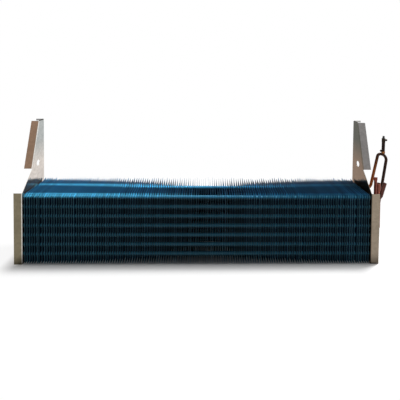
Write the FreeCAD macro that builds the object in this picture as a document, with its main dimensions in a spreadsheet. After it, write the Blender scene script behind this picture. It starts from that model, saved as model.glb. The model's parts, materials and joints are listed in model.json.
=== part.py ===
import FreeCAD, Part
import math
import os
import Sketcher

# Evaporator coil: two folded end plates, a pack of flat fins between them, and copper hairpins that run
# through everything. Bends brazed into their sockets join them at the right, where the pipes for the
# refrigerant stand. Millimetres; X runs along the coil, Y from front to back and Z up.
# The origin is in the middle of the underside.
# While the pieces are made, X is 0 half-way between the end plates and Y is 0 at the front flanges.

V = FreeCAD.Vector
doc = FreeCAD.newDocument("evaporator_coil")

# Driving dimensions: name, value, what it measures

SIZES = [
    ("span", 926.5, "clear width between the end plates"),
    ("sheet", 1.2, "thickness of the end plates"),
    ("bend_inside", 1.2, "inside radius of the folds"),
    ("flange_width", 22, "width of the front and sloped flanges"),
    ("lip", 1.7, "how far the front flange stands above the fins"),
    ("bare_run", 47.3, "depth of the bare slanted edge"),
    ("bare_rise", 50, "height of the bare slanted edge"),
    ("slope_run", 38.3, "depth of the sloped flange"),
    ("slope_rise", 128.8, "height of the sloped flange"),
    ("top_flange_front", 10, "width of the top flange at its cut front corner"),
    ("wire_hole", 16.5, "diameter of the round hole in each plate"),
    ("wire_hole_setback", 31, "from the hole's centre to the rear edge"),
    ("wire_hole_height", 246.5, "height of the hole's centre"),
    ("tube", 9.52, "outside diameter of the coil tubes"),
    ("expansion", 0.2, "how much wider a hairpin's legs are, expanded into the fins"),
    ("tube_clearance", 0.3, "gap around a tube in the end plates"),
    ("tube_pitch", 25.4, "height from tube to tube in one row"),
    ("row_pitch", 22, "depth from row to row"),
    ("row_count", 5, "rows that the fins have room for"),
    ("tubes_per_row", 7, "tubes in each row"),
    ("lowest_tube", 9.9, "height of the lowest tube"),
    ("tube_overhang", 4, "straight tube outside the left plate, before a hairpin's bend"),
    ("flare_start", 1.5, "from the right plate to the flare of a hairpin's end"),
    ("flare", 1.5, "length over which a hairpin's end widens to its socket"),
    ("socket_depth", 6, "how deep a pipe sits in its socket"),
    ("socket_wall", 0.7, "wall of a socket"),
    ("braze_gap", 0.05, "gap around a pipe in its socket"),
    ("bend_neck", 1, "straight tube between a socket and its return bend"),
    ("fin_count", 143, "number of fins"),
    ("fin", 0.3, "thickness of a fin"),
    ("fin_end_gap", 3.2, "gap between the outer fins and the plates"),
    ("fin_foot", 7.4, "from the lowest tube down to the fins' lower edge"),
    ("fin_head", 12.5, "from the highest tube up to the fins' upper edge"),
    ("inlet_bend", 9, "centre line radius of the liquid inlet's elbow"),
    ("inlet_reach", 27.85, "from the right plate to the liquid inlet's corner"),
    ("inlet_lean", 11.7, "how far the liquid inlet leans outwards"),
    ("inlet_top", 215.6, "height of the liquid inlet's open end"),
    ("loop_pipe", 7.94, "outside diameter of the suction loop"),
    ("riser_reach", 35.5, "from the right plate to the foot of the loop's rising leg"),
    ("riser_lean", 21.2, "how far the rising leg leans outwards"),
    ("riser_bend", 16, "centre line radius at the foot of the rising leg"),
    ("loop_top", 276, "height of the loop's crown"),
    ("loop_width", 27.1, "width of the loop at its crown"),
    ("inner_crown_bend", 8, "centre line radius of the crown's inner corner"),
    ("outer_crown_bend", 17.5, "centre line radius of the crown's outer corner"),
    ("drop_lean", 25.1, "how far the falling leg leans back inwards"),
    ("drop_foot", 105, "height where the falling leg turns to the suction pipe"),
    ("drop_bend", 20, "centre line radius at the foot of the falling leg"),
    ("loop_entry", 82, "height where the loop enters the suction pipe"),
    ("suction", 12.7, "outside diameter of the suction pipe"),
    ("suction_dome", 5.4, "edge radius of the suction pipe's closed foot"),
    ("suction_reach", 53.5, "from the right plate to the suction pipe's axis"),
    ("suction_depth", 66, "depth of the suction pipe's axis"),
    ("suction_foot", 62, "height of the suction pipe's closed foot"),
    ("suction_top", 194, "height of the suction pipe's open end"),
    ("open_end_depth", 12, "depth of the bore in an open pipe end"),
    ("pipe_wall", 0.8, "wall of a pipe at its open end"),
    ("crossover_reach", 22.5, "from the right plate to the far side of the crossover"),
    ("crossover_bend", 12.6, "centre line radius of the crossover's corners"),
    ("process", 7.94, "outside diameter of the process tube"),
    ("process_reach", 36, "from the right plate to the process tube's axis"),
    ("process_depth", 50, "depth of the process tube's axis"),
    ("process_entry", 118, "height where the process tube enters the suction pipe"),
    ("process_bend", 9, "centre line radius of the process tube's elbow"),
    ("process_top", 217, "height of the process tube's crimped end"),
    ("crimp", 7, "length of the flat at the crimped end"),
    ("crimp_taper", 5, "length over which the tube flattens"),
    ("crimp_width", 11, "width of the crimped flat"),
    ("crimp_thickness", 2.4, "thickness of the crimped flat"),
    ("stub", 8.8, "outside diameter of the access stub"),
    ("stub_inset", 12.2, "from the loop's outer corner in to the access stub"),
    ("stub_lean", 0.4, "how far the access stub leans outwards"),
    ("stub_height", 35, "from the loop's crown up to the access stub's upper end"),
    ("valve", 9.6, "diameter of the access valve's body"),
    ("valve_height", 11, "height of the access valve's body"),
    ("valve_port", 5.6, "diameter of the valve's side port"),
    ("valve_port_reach", 9.5, "from the valve's axis to the end of its side port"),
    ("valve_port_rise", 6, "height of the side port above the body's foot"),
    ("valve_cap", 6.4, "diameter of the valve's cap"),
    ("valve_cap_height", 7, "height of the valve's cap"),
    ("tap", 7, "diameter of the side tap"),
    ("tap_tip", 5.6, "diameter of the side tap's pinched end"),
    ("tap_height", 10, "from the loop's crown up to the side tap's outer end"),
    ("tap_reach", 8, "from the stub's axis to the side tap's outer end"),
    ("tap_drop", 2.5, "how far the side tap falls to the stub"),
]

sheet = doc.addObject("Spreadsheet::Sheet", "sizes")
for row, (name, value, meaning) in enumerate(SIZES, start=1):
    sheet.set(f"A{row}", meaning)
    sheet.set(f"B{row}", str(value))
    sheet.setAlias(f"B{row}", name)
doc.recompute()

# Measures that follow from the driving dimensions: name, formula

FOLLOWING = [
    ("outer_face", "sizes.span / 2 + sizes.sheet"),
    ("half_span", "sizes.span / 2"),
    ("seat", "measures.outer_face + sizes.flare_start + sizes.flare"),
    ("socket_mouth", "measures.seat + sizes.socket_depth"),
    ("plate_depth", "sizes.row_pitch * sizes.row_count"),
    ("front_row", "sizes.row_pitch * 0.5"),
    ("second_row", "sizes.row_pitch * 1.5"),
    ("fourth_row", "sizes.row_pitch * 3.5"),
    ("rear_row", "sizes.row_pitch * 4.5"),
    ("raised_tube", "sizes.lowest_tube + sizes.tube_pitch / 2"),
    ("row_height", "sizes.tube_pitch * (sizes.tubes_per_row - 1)"),
    ("top_tube", "measures.raised_tube + measures.row_height"),
    ("fin_top", "measures.top_tube + sizes.fin_head"),
    ("fin_bottom", "sizes.lowest_tube - sizes.fin_foot"),
    ("front_top", "measures.fin_top + sizes.lip"),
    ("slope_foot", "measures.front_top + sizes.bare_rise"),
    ("plate_top", "measures.slope_foot + sizes.slope_rise"),
    ("wire_hole_depth", "measures.plate_depth - sizes.wire_hole_setback"),
    ("leg", "sizes.tube + sizes.expansion"),
    ("tube_hole", "measures.leg + 2 * sizes.tube_clearance"),
    ("outer_bend", "sizes.bend_inside + sizes.sheet"),
    ("under_fold", "measures.plate_top - measures.outer_bend"),
    ("flange_part", "1 - measures.outer_bend / sizes.slope_rise"),
    ("slope_length", "measures.flange_part * sqrt(sizes.slope_run ^ 2 + sizes.slope_rise ^ 2)"),
    ("web_slope_start", "sizes.bare_run + measures.outer_bend"),
    ("web_slope_end", "measures.web_slope_start + sizes.slope_run * measures.flange_part"),
    ("top_length", "measures.plate_depth - measures.web_slope_end"),
    ("clear_of_flange", "sizes.flange_width * 2"),
    ("suction_radius", "sizes.suction / 2"),
    ("suction_length", "sizes.suction_top - sizes.suction_foot"),
    ("cap_foot_radius", "sizes.valve_cap / 2"),
    ("cap_top_radius", "sizes.valve_cap * 0.4"),
]

measures = doc.addObject("App::VarSet", "measures")
for name, formula in FOLLOWING:
    measures.addProperty("App::PropertyFloat", name)
    measures.setExpression(name, formula)
doc.recompute()


def value(name):
    """The number behind a name in the sheet or among the measures that follow from it."""
    return float(getattr(measures, name) if name in measures.PropertiesList else sheet.get(name))


def formula(name):
    """The expression that gives a name's number; a minus sign before the name turns it round."""
    plain = name.lstrip("-")
    source = measures if plain in measures.PropertiesList else sheet
    return f"{name.removesuffix(plain)}{source.Name}.{plain}"


def bind(target, field, name):
    """Tie a field of an object to a name."""
    target.setExpression(field, formula(name))


BANKS = (("front", "front_row", "second_row", "tube"), ("rear", "fourth_row", "rear_row", "loop_pipe"))
ROWS = {"front_row": "raised_tube", "second_row": "lowest_tube",
        "fourth_row": "raised_tube", "rear_row": "lowest_tube"}
OUTER_FACE = value("outer_face")
SEAT = value("seat")
MOUTH = value("socket_mouth")
TUBE = value("tube")
LEG = value("leg")
TUBES = int(value("tubes_per_row"))


# End plates

def origin_feature(body, role):
    return next(item for item in body.Origin.OriginFeatures if item.Role == role)


def sketch_on(body, name, plane):
    sketch = body.newObject("Sketcher::SketchObject", name)
    sketch.AttachmentSupport = [(origin_feature(body, plane), "")]
    sketch.MapMode = "FlatFace"
    return sketch


def hold_point(sketch, geometry, point, spot, names):
    """Hold a sketch point at its distances from the sketch's origin; a name may have a minus sign."""
    for kind, distance, name in (("DistanceX", spot.x, names[0]), ("DistanceY", spot.y, names[1])):
        index = sketch.addConstraint(Sketcher.Constraint(kind, -1, 1, geometry, point, distance))
        if name:
            label = f"{kind}_{geometry}_{point}"
            sketch.renameConstraint(index, label)
            bind(sketch, f"Constraints.{label}", name)


def spot_of(names):
    """The sketch point at two names; an empty name is zero and a minus sign turns a name round."""
    places = [0 if not name else -value(name[1:]) if name.startswith("-") else value(name)
              for name in names]
    return V(*places, 0)


def outline(body, name, plane, corners):
    """A closed outline of straight edges through named corners."""
    sketch = sketch_on(body, name, plane)
    spots = [spot_of(corner) for corner in corners]
    for start, end in zip(spots, spots[1:] + spots[:1]):
        sketch.addGeometry(Part.LineSegment(start, end))
    for index, corner in enumerate(corners):
        following = (index + 1) % len(spots)
        sketch.addConstraint(Sketcher.Constraint("Coincident", index, 2, following, 1))
        hold_point(sketch, index, 1, spots[index], corner)
    return sketch


def disc(body, name, plane, centre, diameter):
    """A circle at a named place, with a named diameter."""
    sketch = sketch_on(body, name, plane)
    spot = spot_of(centre)
    sketch.addGeometry(Part.Circle(spot, V(0, 0, 1), value(diameter) / 2))
    hold_point(sketch, 0, 3, spot, centre)
    index = sketch.addConstraint(Sketcher.Constraint("Diameter", 0, value(diameter)))
    sketch.renameConstraint(index, "Width")
    bind(sketch, "Constraints.Width", diameter)
    return sketch


def pad(body, sketch, length, outward):
    feature = body.newObject("PartDesign::Pad", sketch.Name + "_pad")
    feature.Profile = sketch
    bind(feature, "Length", length)
    feature.Reversed = outward < 0
    return feature


def pocket(body, sketch, upward):
    feature = body.newObject("PartDesign::Pocket", sketch.Name + "_cut")
    feature.Profile = sketch
    feature.Type = "ThroughAll"
    feature.Reversed = upward
    return feature


def fold_section(body, name, plane, outward, inward):
    """The section of a fold and its flange, with the fold's outer corner at the sketch's origin."""
    sketch = sketch_on(body, name, plane)
    across = "" if inward > 0 else "-"
    along = "" if outward > 0 else "-"
    corners = [(f"{along}outer_bend", ""), (f"{along}flange_width", ""),
               (f"{along}flange_width", f"{across}sheet"), (f"{along}outer_bend", f"{across}sheet"),
               (f"{along}sheet", f"{across}outer_bend"), ("", f"{across}outer_bend")]
    spots = [spot_of(corner) for corner in corners]
    centre = V(spots[0].x, spots[5].y, 0)
    outwards = V(-outward, -inward, 0).normalize()
    for index, spot in enumerate(spots):
        following = spots[(index + 1) % len(spots)]
        if index in (3, 5):
            middle = centre + outwards * (spot - centre).Length
            sketch.addGeometry(Part.Arc(spot, middle, following))
        else:
            sketch.addGeometry(Part.LineSegment(spot, following))
    for index in (0, 1, 2, 4):
        hold_point(sketch, index, 1, spots[index], corners[index])
        hold_point(sketch, index, 2, spots[index + 1], corners[index + 1])
    for arc, radius in ((3, "bend_inside"), (5, "outer_bend")):
        for point in (1, 2):
            spot = sketch.getPoint(arc, point)
            line = min((0, 1, 2, 4), key=lambda item: min(
                (sketch.getPoint(item, end) - spot).Length for end in (1, 2)))
            end = min((1, 2), key=lambda item: (sketch.getPoint(line, item) - spot).Length)
            sketch.addConstraint(Sketcher.Constraint("Coincident", arc, point, line, end))
        index = sketch.addConstraint(Sketcher.Constraint("Radius", arc, value(radius)))
        sketch.renameConstraint(index, radius)
        bind(sketch, f"Constraints.{radius}", radius)
    return sketch


def flange(body, name, plane, outward, inward, length, offset, heading=None):
    """Pad a fold section from a named offset; a heading makes the fold run aslant."""
    sketch = fold_section(body, name, plane, outward, inward)
    for axis, measure in offset.items():
        bind(sketch, f"AttachmentOffset.Base.{axis}", measure)
    feature = pad(body, sketch, length, 1)
    if heading:
        feature.UseCustomVector = True
        feature.Direction = heading
        feature.AlongSketchNormal = False
    return feature


def end_plate(side, outward):
    """A folded sheet: a flat web with a front, a sloped and a top flange that point outwards."""
    body = doc.addObject("PartDesign::Body", f"{side}_end_plate")
    web = outline(body, f"{side}_web", "YZ_Plane", [
        ("outer_bend", ""), ("plate_depth", ""), ("plate_depth", "under_fold"),
        ("web_slope_end", "under_fold"), ("web_slope_start", "slope_foot"), ("outer_bend", "front_top")])
    pad(body, web, "sheet", outward)
    flange(body, f"{side}_front_flange", "XY_Plane", outward, 1, "front_top", {})
    flange(body, f"{side}_sloped_flange", "XY_Plane", outward, 1, "slope_length",
           {"y": "bare_run", "z": "slope_foot"}, V(0, value("slope_run"), value("slope_rise")))
    flange(body, f"{side}_top_flange", "XZ_Plane", outward, -1, "top_length",
           {"y": "plate_top", "z": "-plate_depth"})

    sign = "" if outward > 0 else "-"
    corner = outline(body, f"{side}_corner_cut", "XY_Plane", [
        (f"{sign}top_flange_front", "web_slope_end"), (f"{sign}clear_of_flange", "web_slope_end"),
        (f"{sign}clear_of_flange", "plate_depth"), (f"{sign}flange_width", "plate_depth")])
    pocket(body, corner, True)
    hole = disc(body, f"{side}_wire_hole", "YZ_Plane", ("wire_hole_depth", "wire_hole_height"), "wire_hole")
    pocket(body, hole, outward > 0)

    for row, height in ROWS.items():
        spot = disc(body, f"{side}_{row}", "YZ_Plane", (row, height), "tube_hole")
        cut = pocket(body, spot, outward > 0)
        body.Tip = cut
        holes = body.newObject("PartDesign::LinearPattern", f"{side}_{row}_holes")
        holes.Originals = [cut]
        holes.Direction = (origin_feature(body, "Z_Axis"), [""])
        bind(holes, "Length", "row_height")
        body.Tip = holes
        bind(holes, "Occurrences", "tubes_per_row")
    body.Placement.Base = V(outward * value("half_span"), 0, 0)
    return body


# Tubes and pipes

def bent(points, radii):
    """Straight runs through the points, with a tangent arc of its own radius at each inner point."""
    edges = []
    start = points[0]
    for before, corner, after, radius in zip(points, points[1:], points[2:], radii):
        arrive = (corner - before).normalize()
        leave = (after - corner).normalize()
        half = arrive.getAngle(leave) / 2
        first = corner - arrive * (radius * math.tan(half))
        last = corner + leave * (radius * math.tan(half))
        middle = corner + (leave - arrive).normalize() * (radius / math.cos(half) - radius)
        edges.append(Part.LineSegment(start, first).toShape())
        edges.append(Part.Arc(first, middle, last).toShape())
        start = last
    edges.append(Part.LineSegment(start, points[-1]).toShape())
    return edges


def swept(edges, diameter):
    """A round bar of one diameter along a line of straight edges and tangent arcs."""
    start = edges[0].valueAt(edges[0].FirstParameter)
    heading = edges[0].tangentAt(edges[0].FirstParameter)
    section = Part.Wire([Part.Circle(start, heading, diameter / 2).toShape()])
    return Part.Wire(edges).makePipeShell([section], True, False)


def bore_at(tip, heading, diameter):
    """The hollow of an open pipe end, to be cut out of the pipe."""
    depth = value("open_end_depth")
    return Part.makeCylinder(diameter / 2 - value("pipe_wall"), depth, tip - heading * depth, heading)


def outside_of(shape, carrier):
    """The part of a pipe that is left outside the piece that carries it."""
    return max(shape.cut(carrier).Solids, key=lambda piece: piece.Volume)


def keep(name, shape):
    """A sub-part whose shape the functions here make from the sheet's values."""
    feature = doc.addObject("Part::Feature", name)
    feature.Shape = shape
    feature.Placement = FreeCAD.Placement()
    return feature


def tube_height(number, lowest):
    """The height of a tube, counted from the top of its row."""
    return value(lowest) + (TUBES - 1 - number) * value("tube_pitch")


def half_turn(start, end, side):
    """A half circle between two tube ends, bulging along X."""
    middle = (start + end) * 0.5 + V(side * (end - start).Length / 2, 0, 0)
    return Part.Arc(start, middle, end).toShape()


def socket(axis_point, fitted):
    """A hairpin's widened end, turned about its axis, with a seat for the pipe that is brazed in."""
    hollow = fitted / 2 + value("braze_gap")
    outside = max(hollow + value("socket_wall"), LEG / 2)
    section = [(SEAT - value("flare"), 0), (SEAT - value("flare"), LEG / 2), (SEAT, outside),
               (MOUTH, outside), (MOUTH, hollow), (SEAT, hollow), (SEAT, 0)]
    spots = [V(along, axis_point.y, axis_point.z + radius) for along, radius in section]
    return Part.Face(Part.makePolygon(spots + spots[:1])).revolve(spots[0], V(1, 0, 0), 360)


def straight_leg(place, height, fitted):
    """One straight leg of a hairpin, from its bend at the left to its socket at the right."""
    left = V(-OUTER_FACE - value("tube_overhang"), place, height)
    right = V(SEAT - value("flare"), place, height)
    tube = Part.makeCylinder(LEG / 2, (right - left).Length, left, right - left)
    return tube.fuse(socket(right, fitted)).removeSplitter(), left


def hairpin(name, near, far, number, fitted):
    """A tube that runs through the coil, round its bend at the left and back, with a socket at each end.

    Its legs and its bend are solids that meet face to face, so that the space between the legs stays open.
    """
    upper, upper_left = straight_leg(value(near), tube_height(number, "raised_tube"), fitted)
    lower, lower_left = straight_leg(value(far), tube_height(number, "lowest_tube"), TUBE)
    bend = swept([half_turn(upper_left, lower_left, -1)], TUBE)
    return keep(name, Part.makeCompound([upper, bend, lower]))


def return_bend(name, near, far, number):
    """The bend brazed into the sockets of two hairpins, from one to the next one below."""
    turn = MOUTH + value("bend_neck")
    upper = V(turn, value(far), tube_height(number, "lowest_tube"))
    lower = V(turn, value(near), tube_height(number + 1, "raised_tube"))
    into_socket = V(SEAT - turn, 0, 0)
    edges = [Part.LineSegment(upper + into_socket, upper).toShape(), half_turn(upper, lower, 1),
             Part.LineSegment(lower, lower + into_socket).toShape()]
    return keep(name, swept(edges, TUBE))


def crossover():
    """The bend under the lowest hairpins that leads from the front bank to the rear bank."""
    start = V(SEAT, value("second_row"), value("lowest_tube"))
    end = V(SEAT, value("rear_row"), value("lowest_tube"))
    reach = OUTER_FACE + value("crossover_reach")
    points = [start, V(reach, start.y, start.z), V(reach, end.y, end.z), end]
    return keep("crossover_bend", swept(bent(points, [value("crossover_bend")] * 2), TUBE))


# Fins

def fin_pack():
    """Flat plates, evenly spaced from end plate to end plate; the tubes are expanded into them."""
    count = int(value("fin_count"))
    thick = value("fin")
    first = value("fin_end_gap") - value("half_span")
    step = (-2 * first - thick) / (count - 1)
    foot = value("fin_bottom")
    plates = [Part.makeBox(thick, value("plate_depth"), value("fin_top") - foot,
                           V(first + index * step, 0, foot)) for index in range(count)]
    return keep("fins", Part.makeCompound(plates))


# Piping at the right end

def on_suction(height):
    """A point on the suction pipe's axis."""
    return V(OUTER_FACE + value("suction_reach"), value("suction_depth"), value(height))


def suction_outlet():
    """An upright pipe with a domed closed foot and an open top."""
    bar = doc.addObject("Part::Cylinder", "suction_bar")
    bind(bar, "Radius", "suction_radius")
    bind(bar, "Height", "suction_length")
    bar.Placement.Base = on_suction("suction_foot")
    doc.recompute()
    dome = value("suction_dome")
    foot = [edge for edge in bar.Shape.Edges if edge.Closed and edge.CenterOfMass.z < bar.Shape.CenterOfMass.z]
    pipe = bar.Shape.makeFillet(dome, foot)
    return keep("suction_outlet", pipe.cut(bore_at(on_suction("suction_top"), V(0, 0, 1), value("suction"))))


def liquid_inlet():
    """The pipe that bends up from the front bank's top tube and leans outwards to its open end."""
    start = V(SEAT, value("front_row"), value("top_tube"))
    corner = V(OUTER_FACE + value("inlet_reach"), start.y, start.z)
    tip = V(corner.x + value("inlet_lean"), start.y, value("inlet_top"))
    pipe = swept(bent([start, corner, tip], [value("inlet_bend")]), TUBE)
    return keep("liquid_inlet", pipe.cut(bore_at(tip, (tip - corner).normalize(), TUBE)))


def loop_corners():
    """The four corners of the tall suction loop, from its foot at the plate to its foot at the pipe."""
    foot = V(OUTER_FACE + value("riser_reach"), value("fourth_row"), value("top_tube"))
    crown = V(foot.x + value("riser_lean"), foot.y, value("loop_top"))
    outer = crown + V(value("loop_width"), 0, 0)
    return foot, crown, outer, V(outer.x - value("drop_lean"), foot.y, value("drop_foot"))


def suction_loop(pipe):
    """The tall loop from the rear bank's top tube, over its crown and down into the suction pipe."""
    foot, crown, outer, drop = loop_corners()
    points = [V(SEAT, foot.y, foot.z), foot, crown, outer, drop, on_suction("loop_entry")]
    radii = [value(name) for name in ("riser_bend", "inner_crown_bend", "outer_crown_bend", "drop_bend")]
    return keep("suction_loop", outside_of(swept(bent(points, radii), value("loop_pipe")), pipe))


def crimped_end(foot):
    """A round tube pressed flat: a loft from the circle to a narrow oval, and the flat beyond it."""
    oval = Part.Ellipse(V(0, 0, 0), value("crimp_width") / 2, value("crimp_thickness") / 2).toShape()
    circle = Part.Wire([Part.Circle(foot, V(0, 0, 1), value("process") / 2).toShape()])
    flat = Part.Wire([oval.translated(foot + V(0, 0, value("crimp_taper")))])
    taper = Part.makeLoft([circle, flat], True)
    return taper.fuse(Part.Face(flat).extrude(V(0, 0, value("crimp"))))


def process_tube(pipe):
    """The thin filling tube on the suction pipe's side, crimped shut at its top."""
    entry = on_suction("process_entry")
    corner = V(OUTER_FACE + value("process_reach"), value("process_depth"), entry.z)
    neck = V(corner.x, corner.y, value("process_top") - value("crimp") - value("crimp_taper"))
    tube = swept(bent([entry, corner, neck], [value("process_bend")]), value("process"))
    return keep("process_tube", outside_of(tube, pipe).fuse(crimped_end(neck)).removeSplitter())


def on_stub(rise):
    """A point on the access stub's axis, at a rise above the centre line of the loop's crown."""
    lean = value("stub_lean") * rise / value("stub_height")
    return loop_corners()[2] + V(lean - value("stub_inset"), 0, rise)


def access_stub(loop):
    """The upright service pipe on the loop's crown."""
    foot = on_stub(0)
    top = on_stub(value("stub_height"))
    bar = Part.makeCylinder(value("stub") / 2, (top - foot).Length, foot, top - foot)
    return keep("access_stub", outside_of(bar, loop))


def above_stub(rise):
    """A point on the access stub's axis, above its upper end."""
    top = on_stub(value("stub_height"))
    return top + (top - on_stub(0)).normalize() * rise


def access_valve():
    """A turned body with a side port, brazed on top of the stub."""
    foot = above_stub(0)
    upward = above_stub(1) - foot
    body = Part.makeCylinder(value("valve") / 2, value("valve_height"), foot, upward)
    port = Part.makeCylinder(value("valve_port") / 2, value("valve_port_reach"),
                             above_stub(value("valve_port_rise")), upward.cross(V(0, -1, 0)))
    return keep("access_valve", body.fuse(port).removeSplitter())


def access_valve_cap():
    """The valve's closing cap, a short tapered knob."""
    foot = above_stub(value("valve_height"))
    cap = doc.addObject("Part::Cone", "access_valve_cap")
    bind(cap, "Radius1", "cap_foot_radius")
    bind(cap, "Radius2", "cap_top_radius")
    bind(cap, "Height", "valve_cap_height")
    cap.Placement = FreeCAD.Placement(foot, FreeCAD.Rotation(V(0, 0, 1), above_stub(1) - above_stub(0)))
    return cap


def side_tap(stub):
    """The short tap at the stub's foot, pinched shut, on the loop's inner side."""
    outer = on_stub(value("tap_height")) - V(value("tap_reach"), 0, 0)
    inner = on_stub(value("tap_height") - value("tap_drop"))
    bar = Part.makeCone(value("tap") / 2, value("tap_tip") / 2, (outer - inner).Length, inner, outer - inner)
    return keep("side_tap", outside_of(bar, stub))


def sub_parts():
    parts = [end_plate("left", -1), end_plate("right", 1), fin_pack()]
    for bank, near, far, outlet in BANKS:
        for number in range(TUBES):
            fitted = value(outlet) if number == 0 else TUBE
            parts.append(hairpin(f"{bank}_hairpin_{number + 1}", near, far, number, fitted))
        for number in range(TUBES - 1):
            parts.append(return_bend(f"{bank}_return_bend_{number + 1}", near, far, number))
    pipe = suction_outlet()
    loop = suction_loop(pipe.Shape)
    stub = access_stub(loop.Shape)
    parts += [crossover(), liquid_inlet(), pipe, loop, process_tube(pipe.Shape), stub, access_valve(),
              access_valve_cap(), side_tap(stub.Shape)]
    for item in parts:
        item.Label = item.Name
    centre_underside(parts)
    return parts


def centre_underside(parts):
    """Move everything so that the middle of the underside of its box is the origin."""
    doc.recompute()
    box = Part.makeCompound([item.Shape for item in parts]).optimalBoundingBox()
    shift = V(-box.Center.x, -box.Center.y, -box.ZMin)
    for item in parts:
        item.Placement.Base = item.Placement.Base + shift


def write(parts):
    doc.recompute()
    for item in doc.Objects:
        if "Invalid" in item.State or "Error" in item.State:
            raise RuntimeError(f"{item.Label} did not build: {item.State}")
    os.makedirs("parts", exist_ok=True)
    for item in parts:
        if item.Shape.isNull() or not item.Shape.isValid():
            raise RuntimeError(f"{item.Label} has no valid shape")
        item.Shape.exportStep(f"parts/{item.Label}.step")
        print(item.Label, len(item.Shape.Solids), "solid(s)", round(item.Shape.Volume), "mm3")


write(sub_parts())
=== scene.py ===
# %% [markdown]
# # An evaporator coil, dressed for its picture
# The object is the cold coil of a cooling unit: a pack of thin blue fins on copper tubes, held between two
# galvanised end plates, with its pipes at the right end. Its CAD model, which is called the frame here,
# already holds the plates, the tubes and the pipes with their real shapes and sizes.
# This lesson gives each of those a finish. It also adds what is too thin or too many for CAD: single waved
# fins, the collars that hug the tubes between them, and the beads of braze at the joints.
# Each step is a text like this one and then a short cell of code. Lengths are in metres, so a millimetre is
# written as 1 * MM. X runs along the coil to the right, Y from its front to its back, and Z upwards.

# %% Load the frame
import json
import math

import bpy
import numpy as np
from mathutils import Matrix, Vector


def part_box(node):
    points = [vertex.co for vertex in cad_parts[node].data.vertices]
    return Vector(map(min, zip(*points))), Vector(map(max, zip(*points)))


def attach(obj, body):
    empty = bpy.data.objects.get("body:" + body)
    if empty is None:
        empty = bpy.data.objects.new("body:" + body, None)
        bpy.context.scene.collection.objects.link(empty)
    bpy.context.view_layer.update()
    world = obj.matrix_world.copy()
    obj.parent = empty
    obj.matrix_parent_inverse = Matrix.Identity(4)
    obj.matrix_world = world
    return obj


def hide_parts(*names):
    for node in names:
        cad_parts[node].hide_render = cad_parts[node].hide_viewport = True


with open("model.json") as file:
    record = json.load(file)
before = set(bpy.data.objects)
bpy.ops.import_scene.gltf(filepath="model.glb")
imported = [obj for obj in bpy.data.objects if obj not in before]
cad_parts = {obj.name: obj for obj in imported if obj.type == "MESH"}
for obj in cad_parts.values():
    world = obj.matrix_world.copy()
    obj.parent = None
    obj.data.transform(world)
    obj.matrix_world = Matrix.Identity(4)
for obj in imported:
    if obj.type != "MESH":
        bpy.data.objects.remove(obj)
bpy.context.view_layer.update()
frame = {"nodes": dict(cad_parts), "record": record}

MM = 0.001
nodes = frame["nodes"]


# %% [markdown]
# ## Rows of tubes
# A coil is laid out from a few numbers: the pitch of the tubes in a row, the pitch of the rows, and how far
# under the fins' top edge the first tubes lie. The sizes of fins and plates could be typed in as well, but
# typed sizes drift away from the CAD when it changes, so they are asked of the frame.
# There are five places for rows, and the middle one is empty. The second and the last row sit half a pitch
# lower than the others, so that the air that leaves one tube meets another.

# %% Where the tubes run
TUBE_RADIUS = 4.86 * MM
TUBE_PITCH = 25.4 * MM
TUBES_PER_ROW = 7
ROW_PITCH = 22 * MM
FIN_HEAD = 12.5 * MM

fin_low, fin_high = (Vector(corner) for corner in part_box("fins"))
left_low, left_high = (Vector(corner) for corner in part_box("left_end_plate"))
right_low = Vector(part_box("right_end_plate")[0])

TOP_TUBE = fin_high.z - FIN_HEAD
ROWS = [(fin_low.y + ROW_PITCH * place, TOP_TUBE - drop * TUBE_PITCH)
        for place, drop in ((0.5, 0), (1.5, 0.5), (3.5, 0), (4.5, 0.5))]
for depth, top in ROWS:
    print(f"a row at y {depth / MM:.1f} mm, its top tube at z {top / MM:.1f} mm")

# %% [markdown]
# ## A finish is a tree of nodes
# Blender's Principled shader stands for the skin of a material: its base colour, how metallic it is and how
# rough. Real metal is never one even colour, so those values come from a tree of small nodes, which is
# worked out afresh at each point of the surface.
# Pictures wrapped round the piece would be another way. Patterns made by nodes need no files, and they have
# a real size, because they follow the Object coordinates: the place on the piece, in metres.
# The class below makes a new material and keeps its shader and its place at hand.

# %% A new finish
def fill(socket, value):
    """Links a node's output to a socket, or sets the socket to a constant."""
    if isinstance(value, bpy.types.NodeSocket):
        socket.id_data.links.new(value, socket)
    else:
        socket.default_value = value


class Finish:
    """A new material, with its shader and the place on the piece in metres."""

    def __init__(self, name):
        self.material = bpy.data.materials.new(name)
        self.material.use_nodes = True
        self.tree = self.material.node_tree
        self.shader = next(node for node in self.tree.nodes if node.type == "BSDF_PRINCIPLED")
        self.place = self.tree.nodes.new("ShaderNodeTexCoord").outputs["Object"]

    def give(self, socket, value):
        """Fills one input of the shader."""
        fill(self.shader.inputs[socket], value)

    def done(self):
        """Says what was made, and gives the material."""
        print(f"finish {self.material.name}: {len(self.tree.nodes)} nodes")
        return self.material


# %% [markdown]
# ## Nodes that measure, mask and mix
# Most finishes here are built from three moves. One node measures, such as how high a point lies. The next
# turns the measure into a mask, a value that goes from 0 to 1 between two places. A mix node then goes from
# one colour to another where the mask says so.
# Each node could be added by hand in the shader editor. With a function for each move, a finish reads like a
# recipe, and the same move is never wired twice.

# %% Measure, mask and mix
def output_of(tree, kind, inputs, output, **settings):
    """One output of a new node. settings are the node's own, inputs are filled by name or by number."""
    node = tree.nodes.new("ShaderNode" + kind)
    for name, value in settings.items():
        setattr(node, name, value)
    for name, value in inputs.items():
        fill(node.inputs[name], value)
    return node.outputs[output]


def along(place, axis):
    """The place along one axis, in metres."""
    return output_of(place.id_data, "SeparateXYZ", {"Vector": place}, axis)


def step(source, start, end):
    """A mask that goes evenly from 0 at start to 1 at end, and keeps those values beyond them."""
    inputs = {"Value": source, "From Min": start, "From Max": end}
    return output_of(source.id_data, "MapRange", inputs, "Result")


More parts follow.
